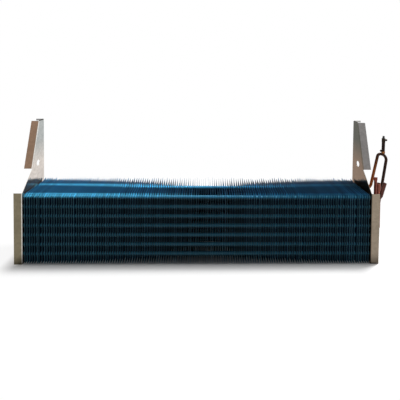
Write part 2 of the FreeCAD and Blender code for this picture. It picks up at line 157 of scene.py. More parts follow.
def span(source, low, high):
    """A value between 0 and 1, stretched to run from low to high."""
    return output_of(source.id_data, "MapRange", {"Value": source, "To Min": low, "To Max": high}, "Result")


def mixed(mask, first, second):
    """The first colour where the mask is 0, the second where it is 1."""
    first, second = (colour if isinstance(colour, bpy.types.NodeSocket) else (*colour, 1)
                     for colour in (first, second))
    return output_of(mask.id_data, "Mix", {"Factor": mask, 6: first, 7: second}, 2, data_type="RGBA")


# %% [markdown]
# ## Patterns
# Two patterns give metal its life. Noise is a soft cloud, good for films, stains and wear. A Voronoi pattern
# splits the surface into cells that each have one random value, good for crystals.
# A pattern is used as a factor on the colour or the roughness, or as a height for the bump node, which
# tilts the light as if the surface had small hills. Real hills that small would take millions of faces.

# %% Noise, crystals and bumps
def noise(place, scale, detail=3.0, roughness=0.5):
    """A soft cloudy value around 0.5. A larger scale makes the clouds smaller."""
    inputs = {"Vector": place, "Scale": scale, "Detail": detail, "Roughness": roughness}
    return output_of(place.id_data, "TexNoise", inputs, "Fac")


def crystals(place, scale):
    """One random value for each cell of a Voronoi pattern, with about scale cells along a metre."""
    colour = output_of(place.id_data, "TexVoronoi", {"Vector": place, "Scale": scale}, "Color")
    return output_of(colour.id_data, "SeparateColor", {"Color": colour}, "Red")


def sums(operation, first, second=0.0):
    """One sum of plain values, such as MINIMUM."""
    return output_of(first.id_data, "Math", {0: first, 1: second}, 0, operation=operation)


def times(colour, factor):
    """A colour made lighter or darker by a factor."""
    return output_of(colour.id_data, "VectorMath", {0: colour, "Scale": factor}, "Vector", operation="SCALE")


def bumped(finish, height, distance, strength):
    """Shades the finish as if it rose by distance where the height is 1."""
    inputs = {"Height": height, "Distance": distance, "Strength": strength}
    finish.give("Normal", output_of(finish.tree, "Bump", inputs, "Normal"))


# %% [markdown]
# ## Galvanised end plates
# Each end plate is one folded steel sheet that was dipped in molten zinc. The zinc froze in crystals, the
# spangle, and each of them mirrors the light a little differently. So every crystal makes the colour a
# little lighter or darker, and a cloudy film lies over all.
# The faces of a plate have a tone each, and these tones paint in light: the warm, dull tone of the flanges is
# painted shade and reflection, the short flange at the top is dark and unmetallic as painted shade, and the
# bright tone of the left plate's folds is a painted highlight. The web is lighter up to the height of the
# hole than above it. A separate material for each face would be one way, but a plate is one mesh, so masks on
# its own coordinates pick the faces out. How far out along X a point lies tells the web from the flanges
# beyond it, and its height tells the foot from the top.

# %% Zinc-coated sheet
SHEET = 1.2 * MM
HOLE_HEIGHT = 246.5 * MM
FADE = 70 * MM


def galvanised_sheet(name, web_face, web, flanges, painted_crown_shade, painted_fold_light):
    """Colour = the face's tone, times 0.9 to 1.06 for its crystal, times 0.8 to 1.2 for the film.

    web_face is how far out along X the web's outer face lies, and the flanges stand beyond it. web and
    flanges each hold a tone for the foot and one for the top, and the flanges' tones paint in shade and
    reflection. The next tone paints shade on the short flange at the top, and the last paints the light on
    the bends and the cut edges, which lie between the web's two faces.
    """
    zinc = Finish(name)
    height = along(zinc.place, "Z")
    out = sums("ABSOLUTE", along(zinc.place, "X"))
    web_tone = mixed(step(height, HOLE_HEIGHT, HOLE_HEIGHT + FADE), *web)
    # The flanges' tones are painted shade and reflection.
    painted_flange_tone = mixed(step(height, fin_high.z, HOLE_HEIGHT), *flanges)
    tone = mixed(step(out, web_face + 0.1 * MM, web_face + SHEET), web_tone, painted_flange_tone)
    # The bends and cut edges get a tone of their own, which paints the light on them; on the left plate it is
    # a bright painted highlight.
    inner = step(out, web_face - 1.1 * MM, web_face - 0.95 * MM)
    outer = step(out, web_face - 0.05 * MM, web_face - 0.2 * MM)
    tone = mixed(sums("MINIMUM", inner, outer), tone, painted_fold_light)
    # The short flange at the top gets a tone of its own, a painted shade.
    painted_crown_mask = step(height, left_high.z - 3 * MM, left_high.z - 2 * MM)
    tone = mixed(painted_crown_mask, tone, painted_crown_shade)
    spangle, film = crystals(zinc.place, 170), noise(zinc.place, 16, 4)
    zinc.give("Base Color", times(times(tone, span(spangle, 0.9, 1.06)), span(film, 0.8, 1.2)))
    # There the sheet is also made unmetallic and dull, so that reflections don't light up the painted shade.
    zinc.give("Metallic", span(painted_crown_mask, 0.95, 0.0))
    zinc.give("Specular IOR Level", span(painted_crown_mask, 0.5, 0.05))
    rolled = output_of(zinc.tree, "Mapping", {"Vector": zinc.place, "Scale": (1, 1, 0.15)}, "Vector")
    zinc.give("Roughness", span(noise(rolled, 90), 0.08, 0.17))
    bumped(zinc, spangle, 0.02 * MM, 0.1)
    return zinc.done()


# %% [markdown]
# ## The left and the right sheet
# The left plate's web is bright zinc, and its flanges are warm and dull, a painted shade and reflection. The
# right plate is darker all over, a painted shade. One recipe makes both, each with its own tones: base
# colours in linear light, red, green and blue from 0 to 1.

# %% Left and right sheet
# Left plate: the flange tones are painted shade and reflection, the bright bend tone is a painted highlight,
# and the near-black top flange is a painted shade.
left_sheet = galvanised_sheet("left_sheet", SHEET - left_high.x,
                              web=((0.66, 0.60, 0.55), (0.44, 0.46, 0.45)),
                              flanges=((0.20, 0.17, 0.11), (0.27, 0.172, 0.115)),
                              painted_crown_shade=(0.015, 0.012, 0.007), painted_fold_light=(0.90, 0.87, 0.81))
# Right plate: its dark tones, darkest on the web above the hole, are painted shade.
right_sheet = galvanised_sheet("right_sheet", SHEET + right_low.x,
                               web=((0.215, 0.135, 0.085), (0.080, 0.080, 0.059)),
                               flanges=((0.30, 0.245, 0.185), (0.215, 0.205, 0.20)),
                               painted_crown_shade=(0.13, 0.125, 0.11), painted_fold_light=(0.13, 0.13, 0.11))

# %% [markdown]
# ## Coated fins
# A fin is thin aluminium with a blue lacquer that sheds water. The lacquer is nearly navy on the flat sheet.
# Its paler top and front margins are painted light, where light falls on the fins' edges, and the bright
# rings round the highest tubes are painted light and reflection from the lit tops of those tubes.
# The rings could be cut into the mesh of every fin, at a cost of many faces. Here a mask draws them: a point
# is wrapped into one repeat of the tube pattern, and its distance from the tube's axis says whether it lies
# on a ring. WRAP works like the remainder of a division. The lacquer is matt, because a glossy one would
# mirror the pale surroundings from fin to fin and wash the blue out.

# %% Distance from the nearest tube
def vectors(operation, first, *others):
    """One sum of vectors, such as SUBTRACT."""
    inputs = dict(enumerate((first, *others)))
    return output_of(first.id_data, "VectorMath", inputs, "Vector", operation=operation)


def length(vector):
    """How long a vector is, in metres."""
    return output_of(vector.id_data, "VectorMath", {0: vector}, "Value", operation="LENGTH")


def from_tube(place, row):
    """The place, seen from the nearest tube's axis: (place - axis), wrapped into one repeat, without X.

    Rows of one kind repeat every three row pitches in depth, and their tubes every tube pitch in height.
    """
    far = (1, 1.5 * ROW_PITCH, TUBE_PITCH / 2)
    near = [-side for side in far]
    wrapped = vectors("WRAP", vectors("SUBTRACT", place, (0, *row)), far, near)
    return vectors("MULTIPLY", wrapped, (0, 1, 1))


# %% [markdown]
# ## The lacquer
# Each mask lays a tone over the one before: the margins first, then the rings of the highest tubes, whose
# blue fades towards the right end. The margins and the rings are painted light, and the rings' fade to the
# right is painted shade. In the end every blade multiplies it with a shade of its own, which its mesh holds
# as the attribute blade_shade, because no two fins catch the same light.

# %% Blue lacquer
RING_EDGE = TUBE_RADIUS + 6.8 * MM
RING_FULL = TUBE_RADIUS + 5.4 * MM


def blade_shade(finish):
    """The shade that a blade's mesh holds, 1 for the average blade."""
    return output_of(finish.tree, "Attribute", {}, "Fac", attribute_name="blade_shade")


def coated_fin():
    """Colour = (sheet, then the margins' painted light, then the rings' painted light, each mixed over the
    last by its mask) * blade shade.
    """
    lacquer = Finish("coated_fin")
    height, depth = along(lacquer.place, "Z"), along(lacquer.place, "Y")
    tone = mixed(noise(lacquer.place, 9), (0.002, 0.016, 0.055), (0.003, 0.026, 0.080))
    # Painted light on the front margin.
    front = step(depth, fin_low.y + 3.4 * MM, fin_low.y + 2.6 * MM)
    tone = mixed(span(front, 0.0, 0.9), tone, (0.075, 0.240, 0.320))
    # Painted light on the top margin.
    top = step(height, fin_high.z - 1.9 * MM, fin_high.z - 1.2 * MM)
    tone = mixed(span(top, 0.0, 0.9), tone, (0.030, 0.190, 0.360))
    # Painted light on the rings round the highest tubes, fading to painted shade towards the right end.
    ring = step(length(from_tube(lacquer.place, ROWS[0])), RING_EDGE, RING_FULL)
    painted_top_tube_mask = step(height, TOP_TUBE + 2 * MM, TOP_TUBE + 4 * MM)
    painted_light_fade_right = step(along(lacquer.place, "X"), -0.15, 0.42)
    painted_ring_light = mixed(painted_light_fade_right, (0.080, 0.480, 0.740), (0.025, 0.150, 0.240))
    tone = mixed(sums("MINIMUM", ring, painted_top_tube_mask), tone, painted_ring_light)
    lacquer.give("Base Color", times(tone, blade_shade(lacquer)))
    lacquer.give("Roughness", span(noise(lacquer.place, 60), 0.45, 0.6))
    lacquer.give("Specular IOR Level", 0.12)
    bumped(lacquer, noise(lacquer.place, 45, 2), 0.10 * MM, 0.2)
    return lacquer.done()


coating = coated_fin()

# %% [markdown]
# ## Cut edges
# Fins are cut out of coated sheet, so the rim of a fin is bare aluminium with a smear of lacquer. Seen from
# the front, these rims are the fine pale lines of the coil. The upper rims are darker, a painted shade. A
# mask could find the rims by their place. But they are faces of their own in the blades' mesh, so they simply
# get a material of their own.

# %% Bare rim
def cut_edge():
    """Colour = speckled pale blue in front, dark blue on the top rims as painted shade, * blade shade."""
    rim = Finish("cut_edge")
    front = mixed(noise(rim.place, 400, 2), (0.17, 0.50, 0.70), (0.45, 0.70, 0.82))
    # Painted shade on the top rims.
    painted_upper_mask = step(along(rim.place, "Z"), fin_high.z - 1 * MM, fin_high.z - 0.5 * MM)
    rim.give("Base Color", times(mixed(painted_upper_mask, front, (0.035, 0.14, 0.25)), blade_shade(rim)))
    rim.give("Roughness", 0.6)
    rim.give("Specular IOR Level", 0.2)
    return rim.done()


edge_metal = cut_edge()

# %% [markdown]
# ## Coating on the collars
# The collars carry the same lacquer. It is bright on their upper half, a painted light where light falls from
# above, and dark underneath, a painted shade. The mask for the upper half comes from the height above the
# nearest tube's axis, so one recipe serves all seven tubes of a row. Each row gets its own material, because
# the top tube of the third row, at the back, gets a painted light 1.9 times brighter.

# %% Collar lacquer
def coated_collar(name, row, painted_light_gain):
    """Colour = dark below as painted shade, bright above as painted light, and times a factor for more
    painted light on the row's top tube.
    """
    collar = Finish(name)
    # The upper half gets painted light, and the dark tone beneath is painted shade.
    painted_upper_mask = step(along(from_tube(collar.place, row), "Z"), -1.5 * MM, 2.5 * MM)
    bright = mixed(noise(collar.place, 120), (0.045, 0.26, 0.40), (0.070, 0.34, 0.52))
    # A factor lifts the row's top tube with more painted light.
    painted_top_tube_mask = step(along(collar.place, "Z"), TOP_TUBE, TOP_TUBE + 3 * MM)
    bright = times(bright, span(painted_top_tube_mask, 1.0, painted_light_gain))
    collar.give("Base Color", mixed(painted_upper_mask, (0.012, 0.048, 0.075), bright))
    collar.give("Roughness", 0.45)
    collar.give("Specular IOR Level", 0.2)
    return collar.done()


# Painted light on the top tube of each row: the third row's is 1.9 times brighter.
ROW_PAINTED_LIGHT_GAINS = (1.0, 1.0, 1.9, 1.0)
collar_coatings = [coated_collar(f"coated_collar_{number + 1}", ROWS[number % 2], painted_light_gain)
                   for number, painted_light_gain in enumerate(ROW_PAINTED_LIGHT_GAINS)]

# %% [markdown]
# ## Copper
# New copper is salmon pink. In air it gets a brown film of oxide, first in patches, and near a brazed joint
# the torch turns it wine red and then black. A colour ramp over a noise gives such patches with soft edges:
# share says how much of the surface is left bright.
# The same recipe makes five coppers, from the clean tubes of the coil to the burnt stub of the valve. Layers
# of two shaders would be another way. A lower metallic value on the pipes than on the tubes does as much
# here, since oxide is no metal and shines less.

# %% Copper with an oxide film
def ramp(source, stops):
    """Colours that follow each other as the value grows. stops are (value, colour)."""
    node = source.id_data.nodes.new("ShaderNodeValToRGB")
    elements = node.color_ramp.elements
    for element, (position, colour) in zip(elements, (stops[0], stops[-1])):
        element.position = position
        element.color = (*colour, 1)
    for position, colour in stops[1:-1]:
        elements.new(position).color = (*colour, 1)
    fill(node.inputs["Fac"], source)
    return node.outputs["Color"]


def copper(name, bright, dark, share=0.5, shine=0.6):
    """Colour = bright copper, dark in patches where the noise is above share, and in fine specks."""
    metal = Finish(name)
    patches = noise(metal.place, 38, 5, roughness=0.6)
    specks = noise(metal.place, 260, 4)
    film = ramp(patches, [(share - 0.12, bright), (share + 0.14, dark)])
    metal.give("Base Color", mixed(span(specks, 0.0, 0.45), film, dark))
    metal.give("Metallic", shine)
    metal.give("Roughness", span(patches, 0.28, 0.5))
    bumped(metal, specks, 0.04 * MM, 0.3)
    return metal.done()


tube_copper = copper("tube_copper", (0.56, 0.26, 0.14), (0.20, 0.085, 0.045), share=0.52, shine=0.9)
red_copper = copper("red_copper", (0.38, 0.120, 0.075), (0.24, 0.072, 0.048))
dark_copper = copper("dark_copper", (0.150, 0.040, 0.026), (0.060, 0.018, 0.012))
wine_copper = copper("wine_copper", (0.25, 0.055, 0.034), (0.13, 0.028, 0.018))
burnt_copper = copper("burnt_copper", (0.035, 0.012, 0.006), (0.010, 0.004, 0.003), shine=0.8)

# %% [markdown]
# ## The scorched loop
# The tall loop was heated when the stub and the valve were brazed to its crown. It is brown where it leaves
# the coil and nearly black over the crown and down its outer leg. Painting it by hand on a map would do, but
# two masks are enough: one for the outer leg, one for the crown, and the larger of the two wins.

# %% Loop copper, brown to black
def scorched_loop():
    """Colour = brown, and black where the outward or the upward mask is 1."""
    metal = Finish("scorched_loop")
    low, high = (Vector(corner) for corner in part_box("suction_loop"))
    middle = (low.x + high.x) / 2
    patches = noise(metal.place, 45, 4)
    brown = mixed(patches, (0.44, 0.135, 0.030), (0.22, 0.055, 0.014))
    black = mixed(patches, (0.045, 0.016, 0.008), (0.012, 0.005, 0.003))
    outward = step(along(metal.place, "X"), middle - 6 * MM, middle + 12 * MM)
    upward = step(along(metal.place, "Z"), high.z - 60 * MM, high.z - 5 * MM)
    metal.give("Base Color", mixed(sums("MAXIMUM", outward, upward), brown, black))
    metal.give("Metallic", 0.8)
    metal.give("Roughness", span(patches, 0.3, 0.5))
    bumped(metal, noise(metal.place, 260), 0.04 * MM, 0.3)
    return metal.done()


loop_copper = scorched_loop()

# %% [markdown]
# ## Filler metal
# Brazing rod melts at a lower heat than copper and runs into the gap of a socket. What stays outside is a
# bead, straw yellow to silver, with scorch marks and a rippled skin. Three colours on a ramp give the scorch,
# and a fine bump gives the ripples, which would be too small to model. The bead at the stub's foot was
# heated longer, so it is browner.

# %% Braze
def braze(name, dark, middle, bright):
    """Colour = dark, middle and bright along a fine noise."""
    metal = Finish(name)
    scorch = noise(metal.place, 180, 4)
    metal.give("Base Color", ramp(scorch, [(0.35, dark), (0.55, middle), (0.75, bright)]))
    metal.give("Metallic", 0.9)
    metal.give("Roughness", span(scorch, 0.25, 0.5))
    bumped(metal, noise(metal.place, 420, 2), 0.15 * MM, 0.6)
    return metal.done()


filler = braze("braze", (0.10, 0.06, 0.03), (0.45, 0.31, 0.14), (0.62, 0.52, 0.34))
burnt_filler = braze("burnt_braze", (0.05, 0.02, 0.01), (0.30, 0.12, 0.035), (0.42, 0.19, 0.06))

# %% [markdown]
# ## The valve and its cap
# The access valve is a turned brass body that the torch has blackened, and its cap is moulded black plastic.
# Both are nearly black, so one black material might do. But brass is metallic and plastic isn't, and their
# shine tells them apart.

# %% Sooty brass and black plastic
def sooty_brass():
    """Colour = soot over dark brass, as a fine noise says."""
    metal = Finish("dark_brass")
    soot = noise(metal.place, 150, 4)
    metal.give("Base Color", mixed(soot, (0.006, 0.005, 0.004), (0.040, 0.026, 0.014)))
    metal.give("Metallic", 0.85)
    metal.give("Roughness", span(soot, 0.3, 0.55))
    bumped(metal, noise(metal.place, 600, 2), 0.03 * MM, 0.3)
    return metal.done()


def black_plastic():
    """Colour = black with a faint grain."""
    plastic = Finish("black_plastic")
    grain = noise(plastic.place, 300, 2)
    plastic.give("Base Color", mixed(grain, (0.008, 0.008, 0.009), (0.022, 0.021, 0.020)))
    plastic.give("Roughness", span(noise(plastic.place, 200, 2), 0.35, 0.55))
    return plastic.done()


valve_metal = sooty_brass()
cap_plastic = black_plastic()

# %% [markdown]
# ## Finishes for the CAD's pieces
# Every CAD piece says which slot it belongs to, such as coil_tube, so one table from slots to finishes
# dresses them all. A few pieces differ from the rest of their slot and are named one by one.
# A material can hang on the mesh or on the object. Here it hangs on the object, which leaves the CAD's own
# mesh untouched.

# %% Dress the CAD's pieces
SLOT_FINISH = {"plate_sheet": left_sheet, "fin_sheet": coating, "coil_tube": tube_copper,
               "pipe_copper": red_copper, "valve_metal": valve_metal, "valve_cap": cap_plastic}
OWN_FINISH = {"right_end_plate": right_sheet, "process_tube": wine_copper, "suction_loop": loop_copper,
              "liquid_inlet": dark_copper, "access_stub": burnt_copper}
pieces = frame["record"]["subparts"]
for part in pieces:
    finish = OWN_FINISH.get(part["node"], SLOT_FINISH[part["material_slot"]])
    for material_slot in nodes[part["node"]].material_slots:
        material_slot.link = "OBJECT"
        material_slot.material = finish
print(f"{len(pieces)} CAD nodes dressed, {len(OWN_FINISH)} of them with a finish of their own")

# %% [markdown]
# ## Meshes from whole arrays
# A new piece is a sheet of points, row by row. Its faces join each point with its neighbours: across to the
# next column and on to the next row. numpy works out all points and all faces at once, which is quick even
# for a hundred thousand of them; a loop that adds one point after the other would be slow.

# %% Grids and meshes
def grid_faces(rows, columns, closed):
    """Faces between neighbours of a grid. When it is closed, the last row and column join the first ones."""
    row, column = np.meshgrid(np.arange(rows if closed else rows - 1),
                              np.arange(columns if closed else columns - 1), indexing="ij")
    across, beyond = (column + 1) % columns, (row + 1) % rows
    quads = np.stack([row * columns + column, row * columns + across,
                      beyond * columns + across, beyond * columns + column], axis=-1)
    return quads.reshape(-1, 4)


def mesh_piece(name, points, faces, material, slot, smooth=True):
    """A new piece of the coil, from arrays of points and faces."""
    mesh = bpy.data.meshes.new(name)
    mesh.from_pydata(points.tolist(), [], faces.tolist())
    mesh.materials.append(material)
    mesh.polygons.foreach_set("use_smooth", np.full(len(faces), smooth))
    mesh.update()
    piece = bpy.data.objects.new(name, mesh)
    bpy.context.scene.collection.objects.link(piece)
    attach(piece, "root")
    print(f"{name}: {len(points)} points, {len(faces)} faces")
    return piece


# %% [markdown]
# ## The grid of one fin
# Real fins are stamped sheets of foil, about as thick as paper, which handling has bent a little. The CAD
# has them as flat plates, and the 143 blades here replace those.
# A blade is a grid in depth and height, with two sides. It has few points where it is flat, and more at the
# rear, where a rib bends it and its top corner rises. A Solidify modifier could give the thickness; here
# both sides are written down with their rim, so that the rim's faces can have the bare metal.

# %% A blade's grid and outline
FIN_COUNT = 143
FIN_THICK = 0.3 * MM
BLADE_DEPTHS = np.array([-55, -33, -11, 9, 14, 19, 24, 29, 33, 37, 42, 47, 51, 55]) * MM
BLADE_HEIGHTS = np.array([2.5, 10, 22, 60, 100, 140, 155, 164, 169, 174, 187.5]) * MM

y, z = np.meshgrid(BLADE_DEPTHS, BLADE_HEIGHTS)
side_faces = grid_faces(*y.shape, closed=False)
number = np.arange(y.size).reshape(y.shape)
outline = np.concatenate([number[0], number[1:, -1], number[-1, -2::-1], number[-2:0:-1, 0]])
following = np.roll(outline, -1)
rim_faces = np.stack([outline, following, following + y.size, outline + y.size], axis=-1)
blade_faces = np.concatenate([side_faces[:, ::-1], side_faces + y.size, rim_faces])
print(f"a blade has {2 * y.size} points and {len(blade_faces)} faces, {len(rim_faces)} of them on its rim")

# %% [markdown]
# ## Ribs and raised corners
# A flat blade would let the eye pass between the fins at the middle of the coil, which the real one doesn't.
# So a shallow rib is pressed into the rear of each blade. Its height follows a squared cosine over the depth,
# which starts and ends without a crease, and it fades out near the foot and at the top tubes.
# The rear top corners of the fins stand up raggedly, each by its own amount. A slope from the middle of the
# rear to its edge, on the top row of points alone, lifts them.

# %% Rib and corner
RIB_MIDDLE, RIB_WIDTH = 33 * MM, 44 * MM
RIB_FOOT, RIB_FOOT_FADE = 8 * MM, 14 * MM
RIB_HEAD, RIB_HEAD_FADE = 174 * MM, 8 * MM
CORNER_START, CORNER_WIDTH = 36 * MM, 19 * MM
CORNER_RISE = 6 * MM

rib = np.cos(np.clip((y - RIB_MIDDLE) / RIB_WIDTH, -0.5, 0.5) * math.pi) ** 2
rib *= np.clip((z - RIB_FOOT) / RIB_FOOT_FADE, 0, 1) * np.clip((RIB_HEAD - z) / RIB_HEAD_FADE, 0, 1)
corner = np.clip((y - CORNER_START) / CORNER_WIDTH, 0, 1) * (z == BLADE_HEIGHTS[-1]) * CORNER_RISE
print(f"the rib lifts {np.count_nonzero(rib > 0.01)} points of a side, the corner {np.count_nonzero(corner)}")

# %% [markdown]
# ## Chance
# No two blades are alike. Each has a shade, a rise of its corner, a turn about its upright and two waves with
# a start of their own. The numbers come from a generator with a fixed seed, so the coil looks the same every
# time. Three wave starts are drawn for each blade, and the last two are used.

# %% Draw each blade's own values
draw = np.random.default_rng(11)
shades = draw.uniform(0.7, 1.3, FIN_COUNT)
rises = draw.uniform(0.05, 1.0, FIN_COUNT)[:, None, None]
drawn = [(draw.uniform(0, 2 * math.pi, 3), draw.normal(0, 0.35)) for _ in range(FIN_COUNT)]
starts = np.array([start for start, _ in drawn])[:, :, None, None]
turns = np.array([turn for _, turn in drawn])[:, None, None]
print(f"shades {shades.min():.2f} to {shades.max():.2f}, turns {turns.min():.2f} to {turns.max():.2f}")

# %% [markdown]
# ## Bend all blades at once
# The first axis of these arrays counts the blades, and the last two are the grid, so one line of numpy bends
# all blades. The bend, in millimetres, is the rib plus the turn plus the two waves. Over the first four
# blades at each end the rib grows from nothing to its full height, to keep clear of the plates.
# Copies of one blade made by an Array modifier would be easier, but they would all have the same bend.

# %% Bend
RIB_HEIGHT, TURN_HEIGHT, LONG_WAVE, SHORT_WAVE = 7.8, 1.2, 0.25, 0.12
HALF_DEPTH = 55 * MM
LONG_WAVE_RADIAN, SHORT_WAVE_RADIAN = 45 * MM, 22 * MM
EASING_BLADES = 4
END_GAP = 3 * MM

FIRST_FIN, LAST_FIN = fin_low.x + END_GAP, fin_high.x - END_GAP
FIN_PITCH = (LAST_FIN - FIRST_FIN) / (FIN_COUNT - 1)
order = np.arange(FIN_COUNT)
ease = np.minimum(1, np.minimum(order, FIN_COUNT - 1 - order) / EASING_BLADES)[:, None, None]
bend = RIB_HEIGHT * ease * rib + TURN_HEIGHT * turns * y / HALF_DEPTH
bend += LONG_WAVE * np.sin(z / LONG_WAVE_RADIAN + starts[:, 1])
bend += SHORT_WAVE * np.sin((y + z) / SHORT_WAVE_RADIAN + starts[:, 2])
print(f"a blade every {FIN_PITCH / MM:.2f} mm, bent by up to {np.abs(bend).max():.1f} mm")

# %% [markdown]
# ## Build the fins
# A blade's place along X is its pitch number plus its bend, plus or minus half its thickness. The points of
# all blades go into one array, which has one more axis for the two sides, and the faces of the first blade
# are repeated with their numbers moved on. Two things are added to the mesh: which faces are rim, and each
# blade's shade.

# %% The blades as one mesh
def repeated_faces(faces, count, points):
    """The faces of one form, count times over, when each copy has so many points."""
    return (faces + points * np.arange(count)[:, None, None]).reshape(-1, 4)


middle = (FIRST_FIN + order * FIN_PITCH)[:, None, None] + bend * MM
x = middle[:, None] + np.array([-0.5, 0.5])[:, None, None] * FIN_THICK
tops = (z + corner * rises)[:, None]
points = np.stack(np.broadcast_arrays(x, y, tops), axis=-1).reshape(-1, 3)
blades = mesh_piece("fin_blades", points, repeated_faces(blade_faces, FIN_COUNT, 2 * y.size), coating,
                    "fin_sheet", smooth=False)
blades.data.materials.append(edge_metal)
on_rim = np.arange(len(blade_faces)) >= 2 * len(side_faces)
blades.data.polygons.foreach_set("material_index", np.tile(on_rim, FIN_COUNT).astype(int))
shade = blades.data.attributes.new("blade_shade", "FLOAT", "POINT")
shade.data.foreach_set("value", np.repeat(shades, 2 * y.size))
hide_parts("fins")
print(f"{FIN_COUNT} blades replace the CAD's fins")

# %% [markdown]
# ## Collared sleeves on the tubes
# When a fin is stamped, the metal of each hole is drawn up into a collar. The collar hugs the tube as far as
# the next fin, so no copper shows between the fins, only lacquered steps. The collars also keep the fins at
# their distance.
# Four thousand single collars would be a heavy scene. One turned surface for each tube has the same look: a
# profile of widths along the tube, swept round it. At its ends the profile dips into the tube's wall, and
# its last circle joins the first, which closes the surface.

# %% Turned surfaces and copies
def turned(stations, radii, sides):
    """Points of a surface turned round X: circle k stands at x = stations[k] and has the radius radii[k]."""
    angle = np.arange(sides) * 2 * math.pi / sides
    x = np.repeat(stations[:, None], sides, axis=1)
    y, z = radii[:, None] * np.cos(angle), radii[:, None] * np.sin(angle)
    return np.stack([x, y, z], axis=-1).reshape(-1, 3)


def repeated(points, faces, places):
    """Copies of one form, moved to each of the places."""
    moved = (points + np.asarray(places)[:, None]).reshape(-1, 3)
    return moved, repeated_faces(faces, len(places), len(points))


# %% [markdown]
# ## The sleeves' profile
# At each fin the profile flares to the collar's foot. Some 2 mm later it has narrowed to its waist, and so it
# stays until the next fin. Fourteen sides are enough for tubes that are seen through gaps.

# %% Four rows of sleeves
FLARE, WAIST = TUBE_RADIUS + 0.75 * MM, TUBE_RADIUS + 0.30 * MM
IN_WALL = TUBE_RADIUS - 0.1 * MM
FOOT_LENGTH = 0.3 * FIN_PITCH
PLATE_GAP = 0.2 * MM
SLEEVE_SIDES = 14

start, end = left_high.x + PLATE_GAP, right_low.x - PLATE_GAP
fins_at = FIRST_FIN + order * FIN_PITCH
stations = np.stack([fins_at[:-1], fins_at[:-1] + FOOT_LENGTH], axis=-1).reshape(-1)
stations = np.concatenate([[start, start], stations, [fins_at[-1], end, end]])
radii = np.concatenate([[IN_WALL, WAIST], np.tile([FLARE, WAIST], FIN_COUNT - 1), [FLARE, WAIST, IN_WALL]])
sleeve_points = turned(stations, radii, SLEEVE_SIDES)
sleeve_faces = grid_faces(len(stations), SLEEVE_SIDES, closed=True)

for row, (depth, top) in enumerate(ROWS):
    axes = [(0, depth, top - tube * TUBE_PITCH) for tube in range(TUBES_PER_ROW)]
    mesh_piece(f"tube_sleeves_{row + 1}", *repeated(sleeve_points, sleeve_faces, axes), collar_coatings[row],
               "fin_sheet")

# %% [markdown]
# ## Brazed joints
# At the right end each leg of a hairpin is widened into a socket, and a bend or a pipe is brazed into it. The
# filler leaves a bead all round the mouth. A torus would be too round for it: molten metal wets both sides
# and lies flat, so the bead's profile is a low arch, highest in its middle. It is a closed ring, and its
# inner wall lies inside the tube's.

# %% Beads at the sockets
BEAD_SWELL = 0.9 * MM
BEAD_WIDTH = 2.6 * MM
BEAD_IN_WALL = 0.15 * MM
FROM_SOCKET = 0.6 * MM
BEAD_CIRCLES, BEAD_SIDES = 7, 16
bead_faces = grid_faces(BEAD_CIRCLES, BEAD_SIDES, closed=True)


def bead(radius, width):
    """A ring along X: r = radius + swell * (1 - s * s), while s goes from -1 to 1 over the width."""
    s = np.linspace(-1, 1, BEAD_CIRCLES)
    return turned(s * width / 2, radius + BEAD_SWELL * (1 - s * s), BEAD_SIDES)


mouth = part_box("front_hairpin_2")[1][0] + FROM_SOCKET
sockets = [(mouth, depth, top - tube * TUBE_PITCH) for depth, top in ROWS for tube in range(TUBES_PER_ROW)]
socket_bead = bead(TUBE_RADIUS - BEAD_IN_WALL, BEAD_WIDTH)
mesh_piece("braze_beads", *repeated(socket_bead, bead_faces, sockets), filler, "pipe_copper")

# %% [markdown]
# ## The bead at the stub's foot
# The stub for the access valve stands upright on the loop's crown. Its bead is longer and darker than the
# others. The same ring is used, and its axes are passed round once, so that what ran along X runs along Z.
# Such a swap of axes keeps the faces looking outwards, which a mirror would not.

# %% Bead round the stub
STUB_FROM_SIDE, BEAD_FROM_FOOT = 4.6 * MM, 5 * MM
STUB_BEAD_RADIUS, STUB_BEAD_WIDTH = 4.2 * MM, 7 * MM

stub_low, stub_high = (Vector(corner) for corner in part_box("access_stub"))
foot = np.array([stub_low.x + STUB_FROM_SIDE, (stub_low.y + stub_high.y) / 2, stub_low.z + BEAD_FROM_FOOT])
upright_bead = bead(STUB_BEAD_RADIUS, STUB_BEAD_WIDTH)[:, [1, 2, 0]]
mesh_piece("stub_bead", upright_bead + foot, bead_faces, burnt_filler, "pipe_copper")

# %% [markdown]
# ## A white surround that adds no light
# A product picture has a white ground, but white walls would flood the coil with light and wash the dark
# fins out. Blender can tell why a ray is asking for a colour. The surround is white for rays from the camera
# and for rays that metal mirrors, and dim for the rays that light a surface. That keeps the ground white and
# the lamps in charge.

# %% Which rays see white
def seen_directly(tree):
    """1 for rays from the camera and for mirrored or transmitted ones, 0 for rays that light a surface."""
    camera, glossy, through = (output_of(tree, "LightPath", {}, kind)
                               for kind in ("Is Camera Ray", "Is Glossy Ray", "Is Transmission Ray"))
    return sums("MAXIMUM", sums("MAXIMUM", camera, glossy), through)


def output_socket(tree, kind, socket):
    """An input of a tree's output node."""
    return next(node for node in tree.nodes if node.type == kind).inputs[socket]


# %% [markdown]
# ## Floor
# The floor is a wide plane. Close to the coil it is paint, so that the coil's shadow shows on it. Away from
# the coil it turns into even white light within half a metre, so that no edge of it shows. The distance from
# the coil's foot is worked out like that from any box: what is left of the place beyond the half sizes.

# %% Pale floor
FLOOR_SIZE = 60
COIL_FOOT = (0.5, 0.055, 1)


def clear_of(place, half_sizes):
    """The distance from a box at the origin: the length of max(|place| - half sizes, 0)."""
    return length(vectors("MAXIMUM", vectors("SUBTRACT", vectors("ABSOLUTE", place), half_sizes), (0, 0, 0)))


